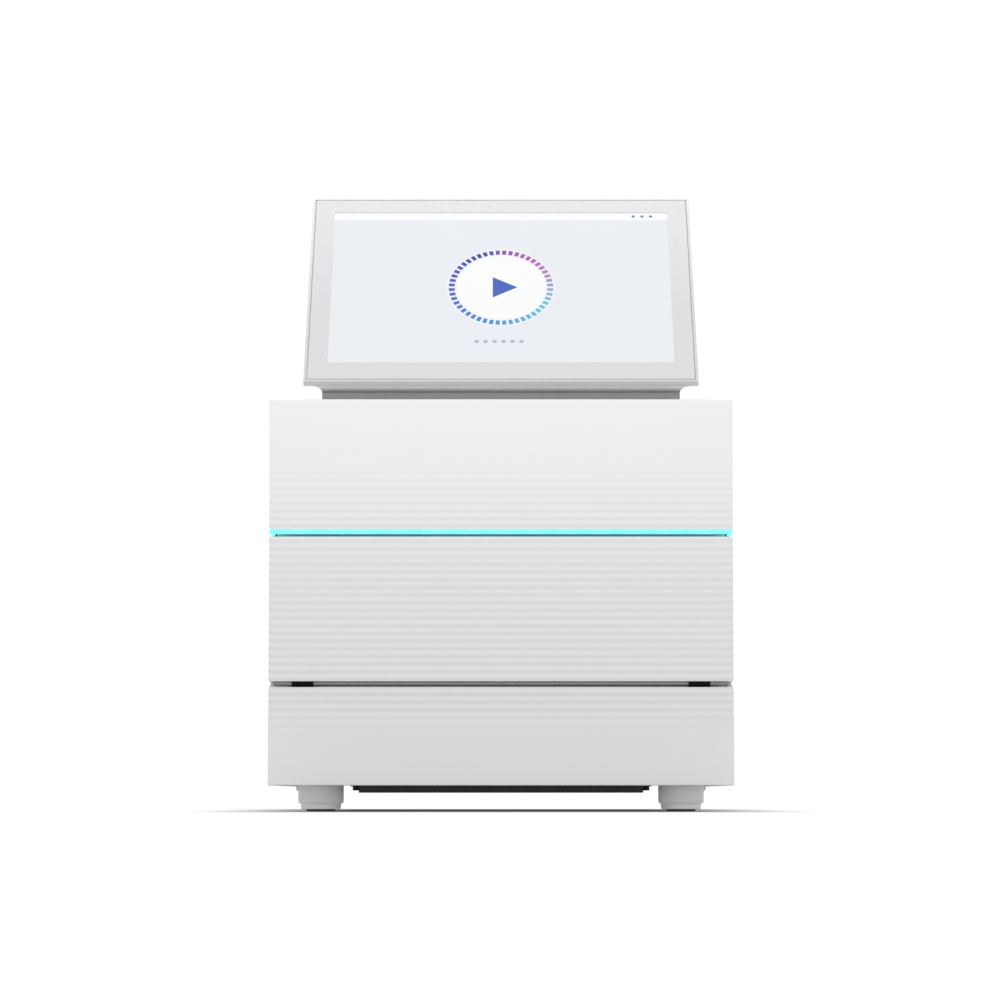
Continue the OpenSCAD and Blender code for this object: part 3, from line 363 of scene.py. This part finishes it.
ALONG_X, ALONG_Y = (0.02, 1.0, 1.0), (1.0, 0.02, 1.0)
FINISHES = {
    # painted shade: the housing darkens by up to 12% towards its lower parts, from 0.26 m down to
    # 0.14 m
    "housing": painted_height_shade(moulded("housing", srgb(240, 240, 240), 0.50), 0.14, 0.26, 0.12),
    # painted shade: the lower front cover is a little darker than the housing, and darkens by up to
    # 13% towards its top, from 0.02 m up to 0.10 m
    "housing_low": painted_height_shade(moulded("housing_low", srgb(236, 236, 236), 0.50), 0.10, 0.02, 0.13),
    "light_bar": light_strip("light_bar"),
    # painted shade: the monitor's rim and face darken by up to 9% towards the bottom, from 0.42 m
    # down to 0.33 m
    "monitor_plastic": painted_height_shade(moulded("monitor_plastic", srgb(217, 217, 217), 0.42, 0.0003,
                                       0.000003), 0.33, 0.42, 0.09),
    "screen_glass": glass_sheet("screen_glass"),
    "sheet_metal": brushed("sheet_metal", srgb(196, 198, 200), 0.38, ALONG_Y),
    "dark_metal": brushed("dark_metal", srgb(52, 52, 54), 0.50, ALONG_X, 0.35, 0.10),
    "steel": turned("steel", srgb(205, 206, 208), 0.26),
    "black_plastic": moulded("black_plastic", srgb(26, 26, 27), 0.42, 0.0004, 0.000008, 0.08),
    "grey_plastic": moulded("grey_plastic", srgb(246, 246, 246), 0.48, 0.0004, 0.000008, 0.03),
    "tray_plastic": moulded("tray_plastic", srgb(226, 228, 230), 0.40, 0.0004, 0.000005),
    "circuit_board": circuit("circuit_board"),
    "rubber": moulded("rubber", srgb(66, 66, 67), 0.85, 0.0003, 0.00002, 0.10),
    "foam": porous("foam", srgb(66, 66, 68), 0.0016, 0.0004),
    "pad": porous("pad", srgb(232, 232, 228), 0.0007, 0.00006),
    "ceramic_white": moulded("ceramic_white", srgb(222, 210, 176), 0.30, 0.0003, 0.000003, 0.02),
    "lens_glass": coated_lens("lens_glass"),
    "liner_plastic": moulded("liner_plastic", srgb(196, 197, 199), 0.48, 0.0004, 0.000008, 0.02),
}

OWN_FINISHES = {
    "door_hinge_leaves": moulded("hinge_black", srgb(9, 9, 9), 0.65, Specular_IOR_Level=0.1),
    "door_hinge_pins": moulded("pin_grey", srgb(138, 138, 139), 0.5, 0.0004, 0.000004),
    "front_frame": moulded("frame_white", srgb(244, 244, 244), 0.5, 0.001, 0.00001),
    "light_board": moulded("white_mask", srgb(236, 238, 238), 0.4, 0.001, 0.00001),
}
# painted shade: the monitor's back turns a darker grey at the neck and hinge barrel under the
# monitor
OWN_FINISHES["monitor_back"] = painted_neck_shade(moulded("monitor_back", srgb(233, 233, 233), 0.42))
OWN_FINISHES["frame_hinge_leaves"] = OWN_FINISHES["door_hinge_leaves"]


def finish_of(node):
    """A node's own finish, or the finish of its slot."""
    return OWN_FINISHES.get(node, FINISHES[SLOT_OF[node]]).material


# ---- Surfaces -------------------------------------------------------------------------------

class Surface:
    """Gathers grids of points and flat outlines into one mesh."""

    def __init__(self):
        self.points = []
        self.faces = []
        self.count = 0

    def add(self, points):
        """Keeps the points, and gives their numbers in the same rows and columns."""
        flat = points.reshape(-1, 3)
        index = np.arange(len(flat)).reshape(points.shape[:-1]) + self.count
        self.points.append(flat)
        self.count += len(flat)
        return index

    def grid(self, points, wrap_rows=False, wrap_columns=False):
        """Joins neighbours of a (rows, columns, 3) array with four-sided faces."""
        index = self.add(points)
        if wrap_rows:
            index = np.concatenate([index, index[:1]], axis=0)
        if wrap_columns:
            index = np.concatenate([index, index[:, :1]], axis=1)
        quads = np.stack([index[:-1, :-1], index[:-1, 1:], index[1:, 1:], index[1:, :-1]], -1)
        self.faces += quads.reshape(-1, 4).tolist()
        return self

    def outline(self, points):
        """One flat face over a loop of points."""
        self.faces.append(self.add(points).tolist())
        return self

    def block(self, low, high, edge=0.0):
        """A box between two corners whose edges are all cut back by a small amount."""
        middle, half = np.add(low, high) / 2, np.subtract(high, low) / 2
        rings = []
        for side, inset in ((-1, edge), (-1, 0), (1, 0), (1, edge)):
            x, y = half[0] - inset, half[1] - inset
            z = side * (half[2] - (edge - inset))
            rings.append([(x - edge, -y, z), (x, edge - y, z),
                          (x, y - edge, z), (x - edge, y, z),
                          (edge - x, y, z), (-x, y - edge, z),
                          (-x, edge - y, z), (edge - x, -y, z)])
        points = np.array(rings) + middle
        self.grid(points, wrap_columns=True)
        return self.outline(points[0][::-1]).outline(points[-1])

    def lathe(self, profile, centre, axis="Z", segments=64):
        """Turns a profile of (radius, height) rows round an axis through the centre."""
        radius, height = np.array(profile, float).T
        turn = np.linspace(0, 2 * math.pi, segments, endpoint=False)
        ring = np.stack([radius[:, None] * np.cos(turn), radius[:, None] * np.sin(turn),
                         np.repeat(height[:, None], segments, 1)], -1)
        if axis == "X":
            ring = ring[..., [2, 0, 1]]
        elif axis == "Y":
            ring = ring[..., [1, 2, 0]]
        return self.grid(ring + np.array(centre), wrap_columns=True)


def piece(name, surface, node, finish=None, closed=True):
    """Makes a mesh of a surface that stands for a CAD node, rides on its body and has its slot."""
    mesh = bpy.data.meshes.new(name)
    mesh.from_pydata(np.concatenate(surface.points).tolist(), [], surface.faces)
    shape = bmesh.new()
    shape.from_mesh(mesh)
    bmesh.ops.remove_doubles(shape, verts=shape.verts, dist=2e-7)
    if closed:
        bmesh.ops.recalc_face_normals(shape, faces=shape.faces)
    shape.to_mesh(mesh)
    shape.free()
    return dress(name, mesh, node, finish)


def dress(name, mesh, node, finish=None):
    """Finishes a mesh: smooth faces between its sharp edges, its material, body and slot."""
    mesh.polygons.foreach_set("use_smooth", np.ones(len(mesh.polygons), bool))
    mesh.set_sharp_from_angle(angle=SHARP)
    mesh.materials.clear()
    mesh.materials.append(finish.material if finish else finish_of(node))
    made = bpy.data.objects.new(name, mesh)
    bpy.context.scene.collection.objects.link(made)
    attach(made, BODY_OF[node])
    return made


def eased(node):
    """A copy of a CAD node with its triangles joined and its round walls smooth."""
    mesh = frame["nodes"][node].data.copy()
    shape = bmesh.new()
    shape.from_mesh(mesh)
    bmesh.ops.remove_doubles(shape, verts=shape.verts, dist=1e-6)
    shape.to_mesh(mesh)
    shape.free()
    if mesh.has_custom_normals:
        mesh.attributes.remove(mesh.attributes["custom_normal"])
    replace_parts(dress(node + "_surface", mesh, node), node)


# ---- Ribbed housing -------------------------------------------------------------------------

def smooth(share):
    """A smooth rise from 0 to 1: three times the square, less twice the cube."""
    share = np.clip(share, 0, 1)
    return share * share * (3 - 2 * share)


def rib_in(z):
    """How far a rib wave lies inside the flat skin at a height: a cosine that fades out at
    both ends."""
    fade = smooth((z - RIB_START) / (RIB_FULL - RIB_START))
    fade = fade * smooth((RIB_END - z) / (RIB_END - RIB_FADE))
    return RIB_DEPTH * fade * (1 - np.cos(2 * math.pi * (z - RIB_PHASE) / RIB_PITCH)) / 2


def edge_in(distance, radius):
    """How far a rounded edge lies inside the skin at a distance from the edge's end: the radius,
    less the height of its quarter circle there."""
    near = np.clip(radius - distance, 0, radius)
    return radius - np.sqrt(radius ** 2 - near ** 2)


def ribbed_shell(low, high, radii, fronts=(), sides=(), low_edge=None, high_edge=None):
    """The wall of a front section: a closed outline of its thickness, ribbed outside with edges
    rounded to the radii of its low and high end, carried from the rear end of one side round
    both front corners to the other side. low_edge and high_edge give the height of its ends at
    a place, where they aren't flat."""
    low_edge = low_edge or (lambda x, y: np.full(np.shape(x), low))
    high_edge = high_edge or (lambda x, y: np.full(np.shape(x), high))
    turns = np.linspace(0, math.pi / 2, 7)
    side_y = np.array(sorted((SEAM_Y, *sides), reverse=True))
    front_x = np.array(sorted(fronts))

    def plan(inset):
        """Points of the path at an inset from the flat skin: right side, corner, half the front."""
        bend = max(CORNER_R - inset * 0.2, 0.0003)
        centre_x, centre_y = SIDE_X - inset - bend, FRONT_Y + inset + bend
        right = np.stack([np.full(len(side_y), SIDE_X - inset), side_y], -1)
        arc = np.stack([centre_x + bend * np.cos(turns), centre_y - bend * np.sin(turns)], -1)
        front = np.stack([front_x[::-1], np.full(len(front_x), FRONT_Y + inset)], -1)
        half = np.concatenate([right, arc, front])
        return np.concatenate([half, half[::-1] * (-1, 1)])

    rows = []
    count = int((high - low) / RIB_STEP) + 2
    ends = 1 - np.cos(np.linspace(0, math.pi / 2, 5)[:-1])
    flat = np.linspace(radii[0], high - low - radii[1], max(count, 3))
    lengths = np.concatenate([radii[0] * ends, flat, high - low - radii[1] * ends[::-1]])
    nominal = plan(0.0)
    bottom, top = (edge(nominal[:, 0], nominal[:, 1]) for edge in (low_edge, high_edge))
    for length in lengths:
        height = bottom + (top - bottom) * length / (high - low)
        inset = rib_in(np.array([np.median(height)]))[0]
        edge = max(edge_in(length, radii[0]), edge_in(high - low - length, radii[1]))
        way = plan(inset + edge)
        own = rib_in(height) - inset
        way[:, 1] += np.where(np.abs(way[:, 0]) < SIDE_X - 0.002, own, 0)
        rows.append(np.column_stack([way, height]))
    for inset in np.linspace(radii[1] + PAST_EDGE, WALL, 5):
        way = plan(inset)
        rows.append(np.column_stack([way, high_edge(way[:, 0], way[:, 1])]))
    for inset in np.linspace(WALL, radii[0] + PAST_EDGE, 5):
        way = plan(inset)
        rows.append(np.column_stack([way, low_edge(way[:, 0], way[:, 1])]))
    points = np.array(rows)
    surface = Surface().grid(points, wrap_rows=True)
    surface.outline(points[:, 0])
    surface.outline(points[::-1, -1])
    return surface


def plate(surface, xs, ys, low, high):
    """A flat wall between two heights, which may be functions of the place, on a grid of places."""
    x, y = np.meshgrid(xs, ys, indexing="ij")
    heights = [h(x, y) if callable(h) else np.full(x.shape, h) for h in (low, high)]
    under, over = (np.stack([x, y, h], -1) for h in heights)
    surface.grid(over).grid(under[::-1])
    rim_low = np.concatenate([under[:, 0], under[-1, 1:], under[-2::-1, -1], under[0, -2:0:-1]])
    rim_high = np.concatenate([over[:, 0], over[-1, 1:], over[-2::-1, -1], over[0, -2:0:-1]])
    surface.grid(np.stack([rim_low, rim_high]), wrap_columns=True)
    return surface


def cove(x, y):
    """Top of the lower fascia: flat, with a round groove along the door's hinge axis, which lies
    under the axis by the root of the groove's radius squared less the distance squared."""
    reach = np.clip(COVE_R ** 2 - (y - AXIS_Y) ** 2, 0, None)
    return np.minimum(LOWER_TOP, AXIS_Z - np.sqrt(reach) + np.where(reach > 0, 0, 1))


def knuckle_notch(x, y):
    """Bottom of the door: flat, with a round notch over each hinge's knuckles, which is to the
    axis what the groove is, upside down."""
    reach = np.clip(KNUCKLE_R ** 2 - (y - AXIS_Y) ** 2, 0, None)
    over = (np.abs(np.abs(x) - KNUCKLE_X) < KNUCKLE_HALF) & (reach > 0)
    return np.where(over, np.maximum(DOOR_LOW, AXIS_Z + np.sqrt(reach)), DOOR_LOW)


INNER_X = SIDE_X - WALL
INNER_Y = FRONT_Y + WALL
COVE_Y = np.linspace(AXIS_Y - 0.0001, AXIS_Y + 0.00301, 9)
WALL_ENDS = (-INNER_X, INNER_X)

upper = ribbed_shell(BAR_TOP, BODY_TOP, (0.0003, 0.0008))
plate(upper, WALL_ENDS, (INNER_Y, TILT_Y - TROUGH_R), BODY_TOP - SKIN, BODY_TOP)
for ends in ((-INNER_X, -TROUGH_HALF), (TROUGH_HALF, INNER_X)):
    plate(upper, ends, (TILT_Y - TROUGH_R, SEAM_Y), BODY_TOP - SKIN, BODY_TOP)
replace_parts(piece("upper_fascia_surface", upper, "upper_fascia"), "upper_fascia")

notch_x = [side * x for side in (-1, 1) for x in
           (KNUCKLE_X - KNUCKLE_HALF, KNUCKLE_X - KNUCKLE_HALF + HAIR,
            KNUCKLE_X + KNUCKLE_HALF - HAIR, KNUCKLE_X + KNUCKLE_HALF)]
door = ribbed_shell(DOOR_LOW, DOOR_TOP, (0.0004, 0.0007), [x for x in notch_x if x > 0],
                    low_edge=knuckle_notch)
notch_rear = INNER_Y + 0.003
plate(door, sorted((*WALL_ENDS, *notch_x)), np.linspace(INNER_Y, notch_rear, 7),
      knuckle_notch, DOOR_LOW + SKIN)
plate(door, WALL_ENDS, (notch_rear, SEAM_Y), DOOR_LOW, DOOR_LOW + SKIN)
plate(door, WALL_ENDS, (INNER_Y, SEAM_Y), DOOR_TOP - SKIN, DOOR_TOP)
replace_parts(piece("door_surface", door, "door_panel"), "door_panel")

lower = ribbed_shell(BODY_LOW, LOWER_TOP, (0.0006, 0.0004), (), COVE_Y, high_edge=cove)
groove_y = COVE_Y[COVE_Y > INNER_Y]
plate(lower, WALL_ENDS, (*groove_y, SEAM_Y), LOWER_TOP - SKIN - COVE_SKIN, cove)
plate(lower, WALL_ENDS, (INNER_Y, SEAM_Y), BODY_LOW, BODY_LOW + SKIN)
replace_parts(piece("lower_fascia_surface", lower, "lower_fascia"), "lower_fascia")

bar = ribbed_shell(BAR_LOW, BAR_TOP, (0.0003, 0.0003))
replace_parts(piece("light_bar_surface", bar, "status_light_bar"), "status_light_bar")


# ---- Screen ---------------------------------------------------------------------------------

def raised(points):
    """Places points given across the monitor, up its face and out of it (x, v, n) from its tilt
    axis: v and n turned by its lean, and added to the axis."""
    x, v, n = np.moveaxis(np.asarray(points, float), -1, 0)
    y = TILT_Y + v * math.sin(TILT) - n * math.cos(TILT)
    z = TILT_Z + v * math.cos(TILT) + n * math.sin(TILT)
    return np.stack([x, y, z], -1)


def frame_piece(name, node, rows):
    """A rectangular frame: a closed section whose points are rectangles, given as half width,
    lower end, upper end and height over the axis, joined with mitred corners."""
    half, low, high, n = np.array(rows, float).T
    loops = [np.stack([side * half, end, n], -1) for side, end in
             ((-1, low), (1, low), (1, high), (-1, high))]
    surface = Surface().grid(raised(np.stack(loops, 1)), wrap_rows=True, wrap_columns=True)
    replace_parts(piece(name, surface, node), node)


def monitor_face():
    """The rim, with a ledge behind the face, and the face plate round the display."""
    face = np.array([0.1282, 0.00674, 0.17704])
    rim = np.array([0.1305, 0.00454, 0.17824])
    pocket = face + (0.00055, -0.00055, 0.00055)
    window = np.array([WINDOW_W / 2, WINDOW_V, WINDOW_V + WINDOW_H])
    tub = window + (0.005, -0.005, 0.005)
    ease = np.array([-1, 1, -1])
    front, ledge, back, soft = FACE_N, FACE_N - 0.001, FACE_N - 0.005, 0.0003
    frame_piece("monitor_rim_surface", "monitor_rim", [
        (*(rim + ease * soft), back), (*rim, back + soft), (*rim, front - soft),
        (*(rim + ease * soft * 0.3), front - soft * 0.3), (*(rim + ease * soft), front),
        (*(pocket - ease * soft * 0.4), front), (*pocket, front - soft * 0.4), (*pocket, ledge),
        (*tub, ledge), (*tub, back)])
    frame_piece("monitor_face_surface", "monitor_bezel", [
        (*face, ledge), (*face, front - soft * 0.5), (*(face + ease * soft * 0.5), front),
        (*(window - ease * soft * 0.5), front), (*window, front - soft * 0.5), (*window, ledge)])


def screen_finish():
    """The lit display: a white title band with plain marks over a pale field, and in the middle
    a white disc with a play triangle inside a dial of coloured ticks, all worked out in
    millimetres from the display's lower left corner."""
    finish = Finish("display", (0.0, 0.0, 0.0), 0.25, Emission_Strength=0.965,
                    Specular_IOR_Level=0.25)
    uv = finish.node("ShaderNodeTexCoord", output="UV")
    across = finish.along(uv, 0) * (WINDOW_W / MM)
    up = finish.along(uv, 1) * (WINDOW_H / MM)
    x, y = across - 115.3, up - 71.0
    radius = (x * x + y * y) ** 0.5
    soft = 0.25  # half the width of an edge

    def disc(outer, inner=None):
        inside = radius.step(outer + soft, outer - soft)
        return inside if inner is None else inside & radius.step(inner - soft, inner + soft)

    def row_of_dots(height, radii, start, end, pitch=6.0):
        """Round dots side by side between two places, with the radii of their soft edge."""
        aside = abs(finish.math("FRACT", across / pitch) - 0.5) * pitch
        reach = (aside * aside + (up - height) ** 2.0) ** 0.5
        return reach.step(*radii) & across.step(start, start + 0.1) & across.step(end, end - 0.1)

    turn = finish.math("ARCTAN2", y, x) / (2 * math.pi) + 0.5
    beat = finish.math("FRACT", turn * 48.0)
    ticks = abs(beat - 0.5).step(0.36, 0.28) & disc(35.5, 31.4)
    rainbow = finish.node("ShaderNodeValToRGB", {"stops": [
        (0.00, srgb(92, 96, 200)), (0.22, srgb(70, 150, 214)), (0.42, srgb(110, 200, 222)),
        (0.62, srgb(196, 96, 190)), (0.82, srgb(58, 74, 170)), (1.00, srgb(92, 96, 200))]},
        {"Fac": turn})
    triangle = (x + 5.6).step(-soft, soft) & ((11.2 - x) / math.sqrt(3) - abs(y)).step(-soft, soft)
    band = up.step(135.9, 136.4)
    marks = row_of_dots(140.1, (1.35, 1.0), 204.0, 222.0)
    steps = row_of_dots(20.0, (1.7, 1.3), 96.0, 132.0)
    picture = finish.mix(band, srgb(236, 239, 244), srgb(253, 253, 254))
    picture = finish.mix(disc(36.6), picture, srgb(246, 248, 251))
    picture = finish.mix(disc(29.6), picture, srgb(253, 253, 254))
    picture = finish.mix(ticks, picture, rainbow)
    picture = finish.mix(triangle, picture, srgb(74, 104, 190))
    picture = finish.mix(marks, picture, srgb(120, 134, 196))
    picture = finish.mix(steps, picture, srgb(176, 190, 214))
    finish.set("Emission Color", picture)
    finish.set("Roughness", finish.noise(0.03, 3.0) * 0.1 + 0.2)
    return finish


def screen():
    """The display's picture on the touch glass, as a fine flat grid with its own UV map."""
    across = np.linspace(-WINDOW_W / 2, WINDOW_W / 2, 25)
    up = np.linspace(WINDOW_V, WINDOW_V + WINDOW_H, 17)
    v, x = np.meshgrid(up, across, indexing="ij")
    surface = Surface().grid(raised(np.stack([x, v, np.full(x.shape, PICTURE_N)], -1)))
    made = piece("display_picture", surface, "touch_glass", screen_finish(), closed=False)
    mesh = made.data
    corners = np.zeros(len(mesh.loops), int)
    mesh.loops.foreach_get("vertex_index", corners)
    own = np.stack([(x - across[0]) / (across[-1] - across[0]),
                    (v - up[0]) / (up[-1] - up[0])], -1).reshape(-1, 2)
    mesh.uv_layers.new(name="screen").data.foreach_set("uv", own[corners].ravel())


monitor_face()
screen()


# ---- Feet -----------------------------------------------------------------------------------

def feet():
    """Four turned cups with a groove over the pad, a rounded shoulder and a locking lug each."""
    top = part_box("feet")[1].z - 0.0002
    surface, pads = Surface(), Surface()
    r, pad, lug_half, lug_high = 0.0151, 0.0015, 0.002, 0.0041
    for x, y in ((0.1195, -0.131), (-0.1195, -0.131), (0.133, 0.131), (-0.133, 0.131)):
        surface.lathe([(0, pad), (r - 0.0024, pad), (r - 0.0020, pad + 0.0003),
                       (r - 0.0018, pad + 0.0028), (r - 0.0020, pad + 0.0032),
                       (r - 0.0020, pad + 0.0036), (r - 0.0006, pad + 0.0038),
                       (r - 0.0002, pad + 0.0043), (r, pad + 0.0060), (r, top),
                       (0, top)], (x, y, 0))
        side = 1 if x > 0 else -1
        near, far = sorted((x + side * (r - 0.001), x + side * (r + 0.0013)))
        surface.block((near, y - lug_half, top - lug_high), (far, y + lug_half, top), 0.0004)
        pads.lathe([(0, 0), (r - 0.0062, 0), (r - 0.0056, 0.0003), (r - 0.0054, 0.0009),
                    (r - 0.0054, pad), (0, pad)], (x, y, 0))
    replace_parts(piece("foot_cups", surface, "feet"), "feet")
    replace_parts(piece("foot_pad_discs", pads, "foot_pads"), "foot_pads")


feet()


# ---- Carried-over solids --------------------------------------------------------------------

ROUND_NODES = (
    "wrap_cover", "monitor_back", "power_button", "filter_cover", "drip_tray", "cartridge_tray",
    "door_liner", "fan_rotor_left", "fan_rotor_right", "fan_housings", "rocker_switch",
    "rocker_housing", "power_inlet", "ethernet_jack", "lens_barrel", "lead_screw",
    "door_hinge_pins", "tilt_hinge_pins", "door_hinge_leaves", "frame_hinge_leaves",
    "hinge_trough", "door_stays", "drip_tray_screws", "foot_screws", "monitor_bumpers")
for node in ROUND_NODES:
    eased(node)
for node, solid in frame["nodes"].items():
    solid.data.materials.clear()
    solid.data.materials.append(finish_of(node))


# ---- Stage, light and camera ----------------------------------------------------------------

# Middle and half depth, along y, of the painted shadow under the instrument
SHADOW_Y, SHADOW_HALF = -0.025, 0.19


def paper(name, share, least):
    """Evenly lit paper with a painted soft shadow of the instrument's footprint on it, by the
    distance from a rectangle, which is below 0 inside it. The paper's light is a share of full
    white over a least light that it gives everywhere."""
    finish = Finish(name, (0.0, 0.0, 0.0), 0.9, Emission_Strength=1.02, Specular_IOR_Level=0.0)
    place = finish.place()
    aside = abs(finish.along(place, 0)) - SIDE_X
    ahead = abs(finish.along(place, 1) - SHADOW_Y) - SHADOW_HALF
    beyond = ((aside | 0) ** 2 + (ahead | 0) ** 2) ** 0.5 + ((aside | ahead) & 0)
    # painted shadow: the light falls to 7% of full under the footprint and rises to full 7 cm
    # outside it
    light = beyond.step(-0.055, 0.070) * 0.93 + 0.07 + finish.noise(0.3) * 0.002
    light = light * share + least
    finish.set("Emission Color", finish.mix(light, (0.0, 0.0, 0.0), (1.0, 1.0, 1.0)))
    return finish


def studio():
    """A white cove: a round floor that curves up into a wall, its profile turned about the
    middle. One sheet of white paper is seen, and a dimmer one in its place lights the
    instrument."""
    floor, bend, wall = 4.0, 1.2, 4.0
    turn = np.linspace(0, math.pi / 2, 17)
    profile = np.concatenate([
        [(0.0, 0.0), (0.5, 0.0), (floor, 0.0)],
        np.stack([floor + bend * np.sin(turn), bend - bend * np.cos(turn)], -1)[1:],
        [(floor + bend, wall)]])
    way = np.linspace(0, 2 * math.pi, 97)[:-1, None]
    rings = [profile[:, 0] * np.cos(way), profile[:, 0] * np.sin(way), profile[:, 1] + 0 * way]
    sweep = Surface().grid(np.stack(rings, -1), wrap_rows=True)
    for name, share, least, seen in (("studio_sweep", 1.0, 0.0, True),
                                     ("studio_bounce", 0.55, 0.22, False)):
        mesh = bpy.data.meshes.new(name)
        mesh.from_pydata(np.concatenate(sweep.points).tolist(), [], sweep.faces)
        mesh.polygons.foreach_set("use_smooth", np.ones(len(mesh.polygons), bool))
        mesh.materials.append(paper(name, share, least).material)
        made = bpy.data.objects.new(name, mesh)
        made.visible_camera = seen
        made.visible_diffuse = made.visible_glossy = made.visible_shadow = not seen
        bpy.context.scene.collection.objects.link(made)


def softbox(name, place, target, size, power):
    """A rectangular area light that faces a point."""
    light = bpy.data.lights.new(name, "AREA")
    light.shape = "RECTANGLE"
    light.size, light.size_y = size
    light.energy = power
    made = bpy.data.objects.new(name, light)
    made.location = place
    x, y, z = np.subtract(place, target)
    made.rotation_euler = (math.atan2(math.hypot(x, y), z), 0, math.atan2(x, -y))
    bpy.context.scene.collection.objects.link(made)


studio()
softbox("overhead", (0, -0.2, 3.0), (0, 0, 0.2), (3.0, 3.0), 5)
softbox("front", (0, -0.8, 0.62), (0, -0.165, 0.22), (1.2, 0.36), 1.8)
softbox("crown", (0, 0.1, 1.05), (0, -0.1, 0.35), (0.8, 0.3), 2.0)

world = bpy.data.worlds.new("studio_air")
world.use_nodes = True
world.node_tree.nodes["Background"].inputs["Color"].default_value = (1, 1, 1, 1)
world.node_tree.nodes["Background"].inputs["Strength"].default_value = 0.78
bpy.context.scene.world = world
bpy.context.scene.view_settings.view_transform = "Standard"

lens = bpy.data.cameras.new("camera")
lens.sensor_width = 36
lens.lens = 110.62
lens.shift_x = -0.00606
lens.shift_y = 0.0606
lens.clip_start = 0.01
camera = bpy.data.objects.new("camera", lens)
camera.location = (0, -2.1573, 0.011)
camera.rotation_euler = (math.radians(94.505), 0, 0)
bpy.context.scene.collection.objects.link(camera)
bpy.context.scene.camera = camera
